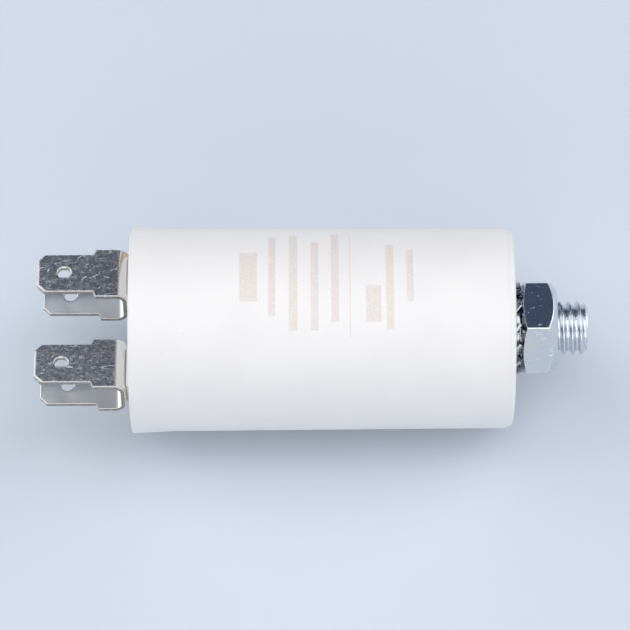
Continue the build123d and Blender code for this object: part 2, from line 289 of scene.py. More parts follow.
# Thin scratches, only in patches: 1 on a scratch
def scratches(tree, centre, scale, width, spread=0.52):
    found = None
    for turn, stretch in scratchSlants:
        cell = tree.add("ShaderNodeTexVoronoi", {"feature": "DISTANCE_TO_EDGE"}, {
            "Vector": tree.placeOn(centre, stretch, (turn, 0.3 * turn, turn)), "Scale": scale * 2.4,
            "Randomness": 1.0})
        line = 1 - cell.ease(width * 0.4, width * 1.6)
        patch = tree.noise(tree.placeOn(tuple(c + 7 * turn for c in centre)), 0.9, 2)
        line = line * patch.ease(spread, spread + 0.1)
        found = line if found is None else found.maths("MAXIMUM", line)
    return found


zincLook = {
    "colour": (0.70, 0.735, 0.79), "tint": (0.76, 0.755, 0.72), "blue": (0.60, 0.67, 0.79),
    "scratch": (0.93, 0.94, 0.96),
}
# A darker copy of the zinc plate for the lock washer: painted shade for the shadowed gap between can and nut
washerPaintedShadeLook = {
    "colour": (0.47, 0.50, 0.55), "tint": (0.50, 0.50, 0.48), "blue": (0.38, 0.44, 0.53),
    "scratch": (0.85, 0.87, 0.90),
}
plateScales = {"mottle": 2.1, "tint": 0.32, "blue": 0.5, "scratch": 0.6, "spread": 0.62, "bumpDepth": 0.012}


# Bright zinc plate: faint blue and straw tints over a polished base, with handling marks
def zincPlate(name, look, roughness, markWidth):
    size = plateScales
    material, tree, shader = newMaterial(name, Metallic=1.0)
    centre = (mouthX + nutEnd, 0, axisZ)
    place = tree.placeOn(centre)
    mottle = tree.noise(place, size["mottle"], 4, 0.6)
    marks = scratches(tree, centre, size["scratch"], markWidth, size["spread"])
    straw = tree.noise(place, size["tint"], 3).ease(0.45, 0.75)
    blue = tree.noise(place, size["blue"], 2).ease(0.5, 0.7)
    colour = tree.blend(straw * 0.7, look["colour"], look["tint"])
    colour = tree.blend(blue * 0.6, colour, look["blue"])
    colour = tree.blend(marks * 0.8, colour, look["scratch"])
    rough = roughness + mottle.ease(0.45, 0.75) * 0.07 + marks * 0.4
    drive(tree, shader, colour, rough, tree.bump(mottle * 0.3 - marks, 0.4, size["bumpDepth"]))
    return material


rivetLook = {"colour": (0.66, 0.58, 0.42), "dull": (0.45, 0.40, 0.32), "scale": 1.4, "bumpDepth": 0.02}


def rivetMetal(name):
    look = rivetLook
    material, tree, shader = newMaterial(name, Metallic=1.0)
    mottle = tree.noise(tree.placeOn(mouthCentre), look["scale"], 4)
    colour = tree.blend(mottle.ease(0.35, 0.65), look["dull"], look["colour"])
    drive(tree, shader, colour, 0.26 + mottle * 0.25, tree.bump(mottle, 0.3, look["bumpDepth"]))
    return material


# The hidden pieces: colour, second colour, roughness, metal or not, scale of the grain and its stretch
innerLooks = {
    "metallised_film": ((0.50, 0.50, 0.53), (0.38, 0.38, 0.42), 0.24, 0.9, 0.9, (0.05, 1, 1)),
    "wrap_tape": ((0.72, 0.58, 0.22), (0.62, 0.47, 0.15), 0.22, 0.0, 0.5, (0.1, 1, 1)),
    "sprayed_zinc": ((0.42, 0.43, 0.45), (0.27, 0.28, 0.30), 0.62, 0.85, 3.2, (1, 1, 1)),
    "tinned_wire": ((0.68, 0.67, 0.65), (0.52, 0.51, 0.50), 0.25, 1.0, 1.5, (0.2, 1, 1)),
    "sleeve_plastic": ((0.80, 0.79, 0.74), (0.70, 0.69, 0.64), 0.45, 0.0, 1.2, (0.2, 1, 1)),
}
innerBumpDepth = 0.04


def innerMaterial(name):
    first, second, rough, metal, size, stretch = innerLooks[name]
    material, tree, shader = newMaterial(name, Metallic=metal)
    grain = tree.noise(tree.placeOn(mouthCentre, stretch), size, 4)
    colour = tree.blend(grain.ease(0.35, 0.65), first, second)
    drive(tree, shader, colour, rough + grain * 0.12, tree.bump(grain, 0.5, innerBumpDepth))
    return material


materials = {
    "canPlastic": whitePlastic("canPlastic", marked=True),
    "white_plastic": whitePlastic("white_plastic"),
    "cream_resin": creamResin("cream_resin"),
    "tinned_tab": tinnedStrip("tinned_tab"),
    "rivet_metal": rivetMetal("rivet_metal"),
    "zinc_plate": zincPlate("zinc_plate", zincLook, 0.10, 0.014),
    "zincThread": zincPlate("zincThread", zincLook, 0.24, 0.003),
    "washerZincPaintedShade": zincPlate("washerZincPaintedShade", washerPaintedShadeLook, 0.16, 0.003),
    **{name: innerMaterial(name) for name in innerLooks},
}
print("materials made:", len(materials))


# Meshes
# Station, across and up from the can's axis, to metres in the shared frame
def inFrame(station, across, up):
    return ((mouthX + station) / mm, across / mm, (axisZ + up) / mm)


def newPiece(name, points, faces, look, slot, nodes, sharp=28):
    mesh = bpy.data.meshes.new(name)
    mesh.from_pydata([inFrame(*p) for p in points], [], faces)
    finishPiece(name, mesh, look, slot, nodes, sharp)


# A mesh as a piece that stands for some nodes: welded, closed faces outwards, smooth up to a sharp angle
def finishPiece(name, mesh, look, slot, nodes, sharp=28):
    work = bmesh.new()
    work.from_mesh(mesh)
    bmesh.ops.remove_doubles(work, verts=work.verts, dist=1e-7)
    bmesh.ops.dissolve_degenerate(work, edges=work.edges, dist=1e-8)
    bmesh.ops.recalc_face_normals(work, faces=work.faces)
    work.to_mesh(mesh)
    work.free()
    mesh.materials.clear()
    mesh.materials.append(materials[look])
    mesh.shade_smooth()
    mesh.set_sharp_from_angle(angle=math.radians(sharp))
    piece = bpy.data.objects.new(name, mesh)
    bpy.context.scene.collection.objects.link(piece)
    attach(piece, "root")
    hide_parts(*nodes)
    print(name, len(mesh.polygons), "faces")


# A polyline whose corners are rounded: each corner is two coordinates and the radius of its round.
# A point a little past each round keeps the straights flat under smooth shading.
def roundedLine(corners, steps=6, past=0.1):
    line = []
    for i, (x, r, size) in enumerate(corners):
        if size <= 0 or i in (0, len(corners) - 1):
            line.append((x, r))
            continue
        here = np.array((x, r))
        back = np.array(corners[i - 1][:2]) - here
        on = np.array(corners[i + 1][:2]) - here
        backLength, onLength = np.linalg.norm(back), np.linalg.norm(on)
        back, on = back / backLength, on / onLength
        half = math.acos(max(-1, min(1, float(back @ on)))) / 2
        reach = size / math.tan(half)
        middle = here + (back + on) / np.linalg.norm(back + on) * size / math.sin(half)
        first, last = here + back * reach - middle, here + on * reach - middle
        turn = math.atan2(first[0] * last[1] - first[1] * last[0], float(first @ last))
        if past and backLength > reach + corners[i - 1][2] + 4 * past:
            line.append(tuple(here + back * (reach + past)))
        for k in range(steps + 1):
            a = turn * k / steps
            line.append(tuple(middle + (first[0] * math.cos(a) - first[1] * math.sin(a),
                                        first[0] * math.sin(a) + first[1] * math.cos(a))))
        if past and onLength > reach + corners[i + 1][2] + 4 * past:
            line.append(tuple(here + on * (reach + past)))
    return line


# A profile of (station, radius) turned about an axis, closed on itself or at poles on that axis
def turned(profile, columns=128, middle=(0, 0), wobble=None):
    points, rings, faces = [], [], []
    angles = [2 * math.pi * (k + 0.5) / columns for k in range(columns)]
    for station, radius in profile:
        if radius < 1e-6:
            rings.append([len(points)] * columns)
            points.append((station, *middle))
            continue
        rings.append(list(range(len(points), len(points) + columns)))
        for a in angles:
            s, r = wobble(station, radius, a) if wobble else (station, radius)
            points.append((s, middle[0] + r * math.cos(a), middle[1] + r * math.sin(a)))
    closed = profile[0][1] > 1e-6
    for i in range(len(rings) if closed else len(rings) - 1):
        lower, upper = rings[i], rings[(i + 1) % len(rings)]
        for k in range(columns):
            n = (k + 1) % columns
            corners = list(dict.fromkeys((lower[k], lower[n], upper[n], upper[k])))
            if len(corners) > 2:
                faces.append(corners)
    return points, faces


# Quads between rings of as many points each; the last ring also meets the first if they are closed
def ringFaces(rings, count, closed=False):
    faces = []
    for i in range(rings if closed else rings - 1):
        n = (i + 1) % rings
        for k in range(count):
            m = (k + 1) % count
            faces.append([i * count + k, i * count + m, n * count + m, n * count + k])
    return faces


# Several (points, faces) as one
def together(*shapes):
    points, faces = [], []
    for somePoints, someFaces in shapes:
        faces += [[i + len(points) for i in face] for face in someFaces]
        points += list(somePoints)
    return points, faces


# Can
can = {
    "mouth": 14.985, "barrelStart": 14.68, "barrelEnd": 14.47, "flare": 8.5, "bandWidth": 0.9,
    "bandStep": 0.2, "endCorner": 0.7, "rim": 1.1, "rimRound": 0.25, "wall": 1.25, "floor": 2.0, "ledge": 2.8,
    "hole": 3.96, "pocket": 6.36, "headHeight": 2.4, "bossCover": 1.0, "boss": 8.0, "columns": 288,
    "barrelRows": 20, "flareRows": 12, "unevenDepth": 0.6, "unevenInside": 13.5,
}


def canProfile(c):
    bandStart = canLength - c["bandWidth"]
    band = c["barrelEnd"] - c["bandStep"]
    slope = (c["barrelStart"] - c["barrelEnd"]) / (bandStart - c["flare"])
    bow = (c["mouth"] - c["barrelStart"] - slope * c["flare"]) / c["flare"] ** 2
    floor = canLength - c["floor"]
    head = floor - c["headHeight"]
    boss = head - c["bossCover"]
    inside = c["barrelStart"] - c["wall"]
    insideEnd = c["barrelEnd"] - c["wall"]
    outer = [(head, 0, 0), (head, c["pocket"], 0), (floor, c["pocket"], 0), (floor, c["hole"], 0),
             (canLength, c["hole"], 0.12), (canLength, band, c["endCorner"]), (bandStart, band, 0.06),
             (bandStart, c["barrelEnd"], 0.07)]
    line = roundedLine(outer + [(c["flare"], c["barrelStart"], 0)])[:-1]
    for k in range(1, c["barrelRows"] + 1):
        x = bandStart + (c["flare"] - bandStart) * k / c["barrelRows"]
        line.append((x, c["barrelEnd"] + slope * (bandStart - x)))
    for k in range(1, c["flareRows"] + 1):
        d = (c["flare"] - c["rimRound"]) * k / c["flareRows"]
        line.append((c["flare"] - d, c["barrelStart"] + slope * d + bow * d * d))
    rest = [(*line[-1], 0), (0, c["mouth"], c["rimRound"]), (0, c["mouth"] - c["rim"], c["rimRound"]),
            (c["ledge"], c["mouth"] - c["rim"], 0.1), (c["ledge"], inside, 0.1), (floor, insideEnd, 0.8),
            (floor, c["boss"], 0.8), (boss, c["boss"], 0.3), (boss, 0, 0)]
    return line + roundedLine(rest)[1:]


# The rim of the mouth is trimmed after moulding, so it is never quite even
def rimWobble(station, radius, angle):
    if station > can["unevenDepth"] or radius < can["unevenInside"]:
        return station, radius
    uneven = 0.022 * math.sin(5 * angle + 1.3) * math.sin(3 * angle) + 0.012 * math.sin(23 * angle + 0.4)
    return station + abs(uneven) * (can["unevenDepth"] - station), radius


canShape = turned(canProfile(can), can["columns"], wobble=rimWobble)
newPiece("can_shell", *canShape, "canPlastic", "white_plastic", ["can"])

# Lid and resin seal
lid = {
    "top": 0.6, "radius": 12.1, "groove": 1.6, "outer": 13.76, "under": 2.8, "edge": 0.18, "spacing": 7.65,
    "plinthWidth": 6.4, "plinthDepth": 5.4, "plinthRise": 0.6, "plinthSunk": 0.5, "plinthRound": 0.8,
    "plinthEdge": 0.2, "cornerSteps": 7, "edgeSteps": 4, "columns": 160,
}


# A plinth as stacked rounded rectangles, sunk into the lid and eased round its top
def plinth(c, middle):
    quarter = [90 * k / c["cornerSteps"] for k in range(c["cornerSteps"] + 1)]

    def ring(station, inset):
        w, d, r = c["plinthWidth"] / 2 - inset, c["plinthDepth"] / 2 - inset, c["plinthRound"] - inset * 0.6
        return [(station, middle + sx * (w - r) + r * math.cos(a), sz * (d - r) + r * math.sin(a))
                for sx, sz, start in ((1, 1, 0), (-1, 1, 90), (-1, -1, 180), (1, -1, 270))
                for a in (math.radians(start + turn) for turn in quarter)]

    edge = c["plinthEdge"]
    rings = [ring(c["top"] + c["plinthSunk"], 0), ring(edge - c["plinthRise"], 0)]
    for k in range(1, c["edgeSteps"] + 1):
        a = math.pi / 2 * k / c["edgeSteps"]
        rings.append(ring(edge * (1 - math.sin(a)) - c["plinthRise"], edge * (1 - math.cos(a))))
    count = len(rings[0])
    points = [p for r in rings for p in r]
    caps = [list(range(count))[::-1], [(len(rings) - 1) * count + k for k in range(count)]]
    return points, ringFaces(len(rings), count) + caps


lidProfile = roundedLine([
    (lid["top"], 0, 0), (lid["top"], lid["radius"], lid["edge"]), (lid["groove"], lid["radius"], 0.1),
    (lid["groove"], lid["outer"], 0.1), (lid["under"], lid["outer"], 0.1), (lid["under"], 0, 0)])
plinths = [plinth(lid, middle) for middle in (lid["spacing"], -lid["spacing"])]
lidShape = together(turned(lidProfile, lid["columns"]), *plinths)
newPiece("lid_disc", *lidShape, "white_plastic", "white_plastic", ["lid"])

seal = {
    "inner": 12.1, "outer": 13.9, "floor": 1.6, "lip": 0.8, "dip": 0.3, "uneven": 0.11, "rows": 12,
    "columns": 192,
}


# Poured resin: it stands at its own level round the lid
def sealWobble(station, radius, angle):
    if station > seal["floor"] - 0.2:
        return station, radius
    wave = 0.5 + 0.5 * math.sin(3 * angle + 0.8) * math.cos(2 * angle) + 0.3 * math.sin(11 * angle)
    return station + seal["uneven"] * max(0.0, wave), radius


sealProfile = [(seal["floor"], seal["inner"])]
for k in range(seal["rows"] + 1):
    t = k / seal["rows"]
    sealProfile.append((seal["floor"] - seal["lip"] + seal["dip"] * 4 * t * (1 - t),
                        seal["inner"] + (seal["outer"] - seal["inner"]) * t))
sealProfile.append((seal["floor"], seal["outer"]))
sealShape = turned(sealProfile, seal["columns"], wobble=sealWobble)
newPiece("seal_bead", *sealShape, "cream_resin", "cream_resin", ["lid_seal"])

# Terminals
terminal = {
    "spacing": 7.65, "sheet": 0.8, "leg": 3.05, "topReach": 13.8, "bottomReach": 13.2,
    "tabWidth": 6.3, "rootWidth": 8.0, "tabLength": 8.2, "tipCorner": 1.0, "tipRound": 0.14,
    "cornerRound": 0.2, "shoulderIn": 0.06, "shoulderOut": 0.24, "shoulderRound": 0.24, "roundSteps": 5,
    "holeInset": 3.9, "holeRadius": 0.92, "holeSteps": 40, "rivetHole": 1.1, "rivetHoleSteps": 32,
    "baseInside": -1.4, "bend": 1.4, "bendSteps": 14, "rollSteps": 4, "pastRoll": 1.35,
    # how far an edge is rounded over, along the face and through the sheet: outside the U, then inside it
    "sideRoll": (0.12, 0.22, 0.05, 0.05), "tipRoll": (0.36, 0.24, 0.12, 0.1),
    "holeRoll": (0.24, 0.24, 0.2, 0.2), "rivetRoll": (0.05, 0.05, 0.05, 0.05),
    # how bright the sheared edges are painted: along the strip a dimmer painted highlight, across it at tips
    # and shoulders a full one
    "paintedHighlightAlong": 0.4, "paintedHighlightAcross": 1.0,
}


# The strip before bending: s runs from the top tab's tip, across the base, to the bottom tab's tip
def stripLengths(c):
    bendStation = c["baseInside"] + c["sheet"] / 2 - c["bend"]
    arc = c["bend"] * math.pi / 2
    return [c["topReach"] + bendStation, arc, 2 * (c["leg"] - c["bend"]), arc, c["bottomReach"] + bendStation]


# A place on the flat strip, s along it and out from its middle surface, once the strip is bent
def bentPlace(c, s, across, out, place):
    lengths = stripLengths(c)
    marks = np.cumsum([0] + lengths)
    station = c["baseInside"] + c["sheet"] / 2
    centre, r = station - c["bend"], c["bend"]
    if s <= marks[1]:
        x, z, nx, nz = -c["topReach"] + s, c["leg"], 0, 1
    elif s <= marks[2]:
        a = math.pi / 2 - (s - marks[1]) / r
        nx, nz = math.cos(a), math.sin(a)
        x, z = centre + r * nx, c["leg"] - r + r * nz
    elif s <= marks[3]:
        x, z, nx, nz = station, c["leg"] - r - (s - marks[2]), 1, 0
    elif s <= marks[4]:
        a = -(s - marks[3]) / r
        nx, nz = math.cos(a), math.sin(a)
        x, z = centre + r * nx, r - c["leg"] + r * nz
    else:
        x, z, nx, nz = centre - (s - marks[4]), -c["leg"], 0, -1
    return x + nx * out, place + across, z + nz * out


# Outline corners of the flat strip: s, across and round. The edge that leaves a corner has its own roll.
def stripOutline(c):
    total = sum(stripLengths(c))
    tab, root, q, e = c["tabWidth"] / 2, c["rootWidth"] / 2, c["tipCorner"], c["shoulderRound"]
    inner, outer = c["tabLength"] - c["shoulderIn"], c["tabLength"] + c["shoulderOut"]
    half = [(0, q - tab, c["tipRound"]), (q, -tab, c["cornerRound"]), (inner, -tab, e), (outer, -root, e)]
    side = half + [(total - s, across, size) for s, across, size in reversed(half)]
    corners = side + [(s, -across, size) for s, across, size in reversed(side)]
    rolls = []
    for (s, _, _), (after, _, _) in zip(corners, corners[1:] + corners[:1]):
        middle = (s + after) / 2
        rolls.append(c["tipRoll"] if min(middle, total - middle) < q else c["sideRoll"])
    return corners, rolls


# The outline with every edge moved inwards by a share of its roll, and what that leaves of its rounds
def movedOutline(corners, rolls, inside, share):
    rolls = [roll[2] if inside else roll[0] for roll in rolls]
    count = len(corners)
    edges = []
    for i in range(count):
        here, after = np.array(corners[i][:2]), np.array(corners[(i + 1) % count][:2])
        along = (after - here) / np.linalg.norm(after - here)
        edges.append((here + np.array((-along[1], along[0])) * rolls[i] * share, along))
    moved = []
    for i in range(count):
        (p, u), (q, v) = edges[i - 1], edges[i]
        bend = float(u[0] * v[1] - u[1] * v[0])
        meet = p + u * float((q - p)[0] * v[1] - (q - p)[1] * v[0]) / bend
        inset = share * max(rolls[i - 1], rolls[i])
        moved.append((*meet, max(0.01, corners[i][2] - math.copysign(inset, bend))))
    return roundedLine([moved[-1]] + moved + [moved[0]], terminal["roundSteps"], 0)[1:-1]


# Rings of (s, across, out) from the inner face over the sheared edge to the outer face.
# A corner at a tip takes the larger roll of its two edges, any other the smaller.
def outlineRings(c):
    corners, rolls = stripOutline(c)
    half = c["sheet"] / 2
    tips = (0, 7, 8, 15)
    depths = [max(rolls[i - 1], rolls[i], key=lambda roll: roll[0] if i in tips else -roll[0])
              for i in range(len(corners)) for _ in range(c["roundSteps"] + 1)]
    rings = []
    for inside, share, drop in rollShares(c):
        line = movedOutline(corners, rolls, inside, share)
        rings.append([(s, across, depth[3] * drop - half if inside else half - depth[1] * drop)
                      for (s, across), depth in zip(line, depths)])
    return rings


def holeRings(c, middle, radius, roll, steps):
    half = c["sheet"] / 2
    angles = [2 * math.pi * k / steps for k in range(steps)]
    rings = []
    for inside, share, drop in rollShares(c):
        r = radius + (roll[2] if inside else roll[0]) * share
        out = roll[3] * drop - half if inside else half - roll[1] * drop
        rings.append([(middle + r * math.cos(a), -r * math.sin(a), out) for a in angles])
    return rings


# Steps round a rolled edge, as shares of its roll: inside the U from its face to the sheared edge, then
# outside. The first and last lie on the faces, just past the roll.
def rollShares(c):
    quarter = [math.pi / 2 * k / c["rollSteps"] for k in range(c["rollSteps"] + 1)]
    quarter = [(1 - math.cos(a), 1 - math.sin(a)) for a in quarter] + [(c["pastRoll"], 0)]
    return [(True, *step) for step in reversed(quarter)] + [(False, *step) for step in quarter]


# The bent strip, with two values on each face: how much sheared edge and painted highlight it shows, and
# whether it is inside the U.
# While it is flat, cutFace is 1 on an edge that runs across the strip and 2 on one that runs along it.
def stampedStrip(name, c, place):
    lengths = stripLengths(c)
    total = sum(lengths)
    ringSets = [outlineRings(c)]
    for s in (c["holeInset"], total - c["holeInset"]):
        ringSets.append(holeRings(c, s, c["holeRadius"], c["holeRoll"], c["holeSteps"]))
    rivetStation = sum(lengths[:2]) + lengths[2] / 2
    ringSets.append(holeRings(c, rivetStation, c["rivetHole"], c["rivetRoll"], c["rivetHoleSteps"]))
    work = bmesh.new()
    cutLayer = work.faces.layers.int.new("cutFace")
    insideLayer = work.faces.layers.int.new("insideFace")
    cutRow = c["rollSteps"] + 1
    ends = []
    for ringSet in ringSets:
        rings = [[work.verts.new(p) for p in ring] for ring in ringSet]
        for i, (lower, upper) in enumerate(zip(rings, rings[1:])):
            for k in range(len(lower)):
                n = (k + 1) % len(lower)
                face = work.faces.new((lower[k], lower[n], upper[n], upper[k]))
                run, rise = (abs(lower[n].co[axis] - lower[k].co[axis]) for axis in (0, 1))
                if i == cutRow:
                    face[cutLayer] = 2 if run > 2 * rise else 1
                face[insideLayer] = 1 if i < cutRow else 0
        ends.append((rings[0], rings[-1]))
    lines = [[Vector((p[0], p[1], 0)) for p in ringSet[0]] for ringSet in ringSets]
    for side in (0, 1):
        ringPoints = [v for end in ends for v in end[side]]
        for corners in tessellate_polygon(lines):
            face = work.faces.new([ringPoints[i] for i in corners])
            face[insideLayer] = 1 - side
    for start, length in ((lengths[0], lengths[1]), (sum(lengths[:3]), lengths[3])):
        for k in range(c["bendSteps"] + 1):
            everything = list(work.verts) + list(work.edges) + list(work.faces)
            bmesh.ops.bisect_plane(work, geom=everything, dist=1e-5,
                                   plane_co=(start + length * k / c["bendSteps"], 0, 0), plane_no=(1, 0, 0))
    bmesh.ops.recalc_face_normals(work, faces=work.faces)
    for v in work.verts:
        v.co = Vector(inFrame(*bentPlace(c, *v.co, place)))
    mesh = bpy.data.meshes.new(name)
    work.to_mesh(mesh)
    work.free()
    values = {"cut": (0, c["paintedHighlightAcross"], c["paintedHighlightAlong"]), "inside": (0, 1)}
    for key, shares in values.items():
        marks = mesh.attributes[key + "Face"]
        shown = np.array([shares[mark.value] for mark in marks.data], np.float32)
        mesh.attributes.remove(marks)
        mesh.attributes.new(key, "FLOAT", "FACE").data.foreach_set("value", shown)
    return mesh


rivet = {
    "shank": 1.1, "head": 1.6, "headHeight": 0.9, "headRound": 0.86, "tail": 1.9, "tailHeight": 0.7,
    "tailRound": 0.3, "bore": 0.6, "boreDepth": 2.2, "lugFace": 3.3, "columns": 48,
}


# From the top of the head to the bottom of the bore in the tail, which is under the lug
def rivetProfile(c, seat):
    top, lug, tail = seat - c["headHeight"], c["lugFace"], c["lugFace"] + c["tailHeight"]
    return roundedLine([
        (top, 0, 0), (top, c["head"], c["headRound"]), (seat, c["head"], 0.04), (seat, c["shank"], 0),
        (lug, c["shank"], 0), (lug, c["tail"], 0), (tail, c["tail"], c["tailRound"]),
        (tail, c["bore"], c["tailRound"]), (tail - c["boreDepth"], c["bore"], 0.1),
        (tail - c["boreDepth"], 0, 0)])


sides = {"back": terminal["spacing"], "front": -terminal["spacing"]}
for side, place in sides.items():
    strip = stampedStrip(f"strip_{side}", terminal, place)
    finishPiece(f"strip_{side}", strip, "tinned_tab", "tinned_tab", [f"terminal_{side}"])
rivetLine = rivetProfile(rivet, terminal["baseInside"])
for side, place in sides.items():
    rivetShape = turned(rivetLine, rivet["columns"], (place, 0))
    newPiece(f"rivet_turned_{side}", *rivetShape, "rivet_metal", "rivet_metal", [f"rivet_{side}"])


# Geometry Nodes
# A node group whose inputs are the given sizes, in metres, and a material
def newGeometryTree(name, inputs):
    group = bpy.data.node_groups.new(name, "GeometryNodeTree")
    for way in ("OUTPUT", "INPUT"):
        group.interface.new_socket("Geometry", in_out=way, socket_type="NodeSocketGeometry")
    for key, value in inputs.items():
        kind = "NodeSocketInt" if isinstance(value, int) else "NodeSocketFloat"
        group.interface.new_socket(key, in_out="INPUT", socket_type=kind).default_value = value
    group.interface.new_socket("Material", in_out="INPUT", socket_type="NodeSocketMaterial")
    tree = Tree(group)
    entry = group.nodes.new("NodeGroupInput")
    wires = {s.name: Wire(tree, s) for s in entry.outputs if s.name}
    return group, tree, wires


# Real, welded geometry with its material, as the group's output
def closeTree(tree, geometry, weld, material):
    real = tree.add("GeometryNodeRealizeInstances", None, {"Geometry": geometry})
    joined = tree.add("GeometryNodeMergeByDistance", None, {"Geometry": real, "Distance": weld / mm})
    dressed = tree.add("GeometryNodeSetMaterial", None, {"Geometry": joined, "Material": material})
    tree.add("NodeGroupOutput", None, {0: dressed})


# The mesh that a group makes, after any further modifiers
def grownMesh(name, group, inputs, look, extra=()):
    holder = bpy.data.objects.new(name + "Grown", bpy.data.meshes.new(name + "Empty"))
    bpy.context.scene.collection.objects.link(holder)
    modifier = holder.modifiers.new("grow", "NODES")
    modifier.node_group = group
    values = {**inputs, "Material": materials[look]}
    for item in group.interface.items_tree:
        if item.in_out == "INPUT" and item.name in values:
            modifier[item.identifier] = values[item.name]
    for kind, settings in extra:
        later = holder.modifiers.new(kind, kind)
        for key, value in settings.items():
            setattr(later, key, value)
    depsgraph = bpy.context.evaluated_depsgraph_get()
    mesh = bpy.data.meshes.new_from_object(holder.evaluated_get(depsgraph))
    mesh.name = name
    bpy.data.objects.remove(holder)
    return mesh


# Lock washer
washer = {
    "bore": 4.2, "ring": 5.4, "outer": 6.68, "toothWidth": 1.36, "sheet": 0.48, "turnShare": 0.36,
    "teeth": 14, "first": math.radians(19), "edge": 0.05, "gridAcross": 21, "gridOut": 25,
    "toothShare": 0.6, "ringShare": 1 / 3, "weld": 0.002,
}
# the teeth are twisted until they span the gap between can and nut
gapSine = (nutFace - canLength) / math.hypot(washer["toothWidth"], washer["sheet"])
toothTwist = math.asin(gapSine) - math.atan2(washer["sheet"], washer["toothWidth"])
washerSizes = {
    **{key: washer[key] / mm for key in ("bore", "ring", "outer")}, "half": washer["toothWidth"] / 2 / mm,
    "twist": toothTwist, **{key: washer[key] for key in ("turnShare", "first", "teeth")},
}


# One pitch of the washer's middle surface, with its tooth, set round the axis as often as there are teeth
def washerTree(c, sizes):
    group, tree, size = newGeometryTree("toothedWasher", sizes)
    grid = tree.add("GeometryNodeMeshGrid", None, {
        "Size X": 2.0, "Size Y": 1.0, "Vertices X": c["gridAcross"], "Vertices Y": c["gridOut"]}, "Mesh")
    here = tree.split(tree.add("GeometryNodeInputPosition"))
    u, v = here[0], here[1] + 0.5
    side, spread = u.maths("SIGN"), u.maths("ABSOLUTE")
    toothShare, ringShare = c["toothShare"], c["ringShare"]
    notTooth = (spread > toothShare) * (v > ringShare)
    sheet = tree.add("GeometryNodeDeleteGeometry", {"domain": "FACE"}, {
        "Geometry": grid, "Selection": notTooth})
    toothAngle = size["half"] / size["ring"]
    pitchAngle = math.pi / size["teeth"]
    inner = spread.maths("MINIMUM", toothShare) / toothShare * toothAngle
    outside = (spread - toothShare).maths("MAXIMUM", 0.0) / (1 - toothShare) * (pitchAngle - toothAngle)
    angle = side * (inner + outside)
    onRing = (v / ringShare).maths("MINIMUM", 1.0)
    onTooth = ((v - ringShare) / (1 - ringShare)).maths("MAXIMUM", 0.0)
    radius = size["bore"] + (size["ring"] - size["bore"]) * onRing
    tilt = size["twist"] * onTooth.ease(0.0, size["turnShare"])
    reach = radius * angle.maths("COSINE")
    reach = reach + (size["outer"] - reach) * onTooth
    lateral = radius * angle.maths("SINE")
    place = tree.point(0.0 - lateral * tilt.maths("SINE"), reach, lateral * tilt.maths("COSINE"))
    tooth = tree.add("GeometryNodeSetPosition", None, {"Geometry": sheet, "Position": place})
    spots = tree.add("GeometryNodePoints", None, {"Count": size["teeth"]})
    turn = tree.add("GeometryNodeInputIndex") * (2 * math.pi) / size["teeth"] + size["first"]
    placed = tree.add("GeometryNodeInstanceOnPoints", None, {
        "Points": spots, "Instance": tooth, "Rotation": tree.point(turn)})
    closeTree(tree, placed, c["weld"], size["Material"])
    return group


# the washer takes the darker copy of the zinc plate, painted shade for the gap between can and nut
washerMesh = grownMesh("lock_washer_teeth", washerTree(washer, washerSizes), washerSizes, "washerZincPaintedShade", [
    ("SOLIDIFY", {"thickness": washer["sheet"] / mm, "offset": 0.0, "use_even_offset": True}),
    ("BEVEL", {"width": washer["edge"] / mm, "segments": 2, "limit_method": "ANGLE",
               "angle_limit": math.radians(40)}),
])
washerMesh.transform(Matrix.Translation(inFrame(washerMiddle, 0, 0)))
finishPiece("lock_washer_teeth", washerMesh, "washerZincPaintedShade", "zinc_plate", ["lock_washer"])

# Thread, nut and stud
thread = {
    "pitch": 1.25, "crest": 3.9, "root": 3.28, "crestShare": 0.14, "rootShare": 0.2, "soft": 0.28,
    "shift": 0.6, "columns": 96, "perPitch": 32, "start": 53.0, "endBevel": 0.68, "weld": 0.0005,
    "nutGap": 0.04,
}
threadRows = int(round((studEnd - thread["start"]) / thread["pitch"] * thread["perPitch"])) + 3
threadSizes = {
    **{key: thread[key] / mm for key in ("pitch", "crest", "root", "shift", "start", "endBevel")},
    "end": studEnd / mm, "crestShare": thread["crestShare"], "rootShare": thread["rootShare"],
    "columns": thread["columns"] + 1, "rows": threadRows,
}


# A tube whose radius follows a right-hand thread, bevelled at its free end and closed at both ends
def threadTree(c, sizes):
    group, tree, size = newGeometryTree("studThread", sizes)
    grid = tree.add("GeometryNodeMeshGrid", None, {
        "Size X": 1.0, "Size Y": 1.0, "Vertices X": size["columns"], "Vertices Y": size["rows"]}, "Mesh")
    here = tree.split(tree.add("GeometryNodeInputPosition"))
    turn, row = here[0] + 0.5, ((here[1] + 0.5) * (size["rows"] - 1)).maths("ROUND")
    # the first and last rows are the poles on the axis
    pole = (row < 0.5).maths("MAXIMUM", row > (size["rows"] - 1.5))
    share = ((row - 1) / (size["rows"] - 3)).maths("MAXIMUM", 0.0).maths("MINIMUM", 1.0)
    station = size["start"] + (size["end"] - size["start"]) * share
    phase = ((station - size["shift"]) / size["pitch"] - turn).maths("FRACT")
    hill = (phase * 2 - 1).maths("ABSOLUTE")
    height = (hill - size["rootShare"]) / (1 - size["rootShare"] - size["crestShare"])
    height = height.maths("MAXIMUM", 0.0).maths("MINIMUM", 1.0)
    height = height * (1 - c["soft"]) + height * height * (3 - height * 2) * c["soft"]
    radius = size["root"] + (size["crest"] - size["root"]) * height
    radius = radius.maths("MINIMUM", size["crest"] - size["endBevel"] + (size["end"] - station))
    radius = radius * (1 - pole)
    angle = turn * (2 * math.pi)
    place = tree.point(station, radius * angle.maths("COSINE"), radius * angle.maths("SINE"))
    tube = tree.add("GeometryNodeSetPosition", None, {"Geometry": grid, "Position": place})
    closeTree(tree, tube, c["weld"], size["Material"])
    return group


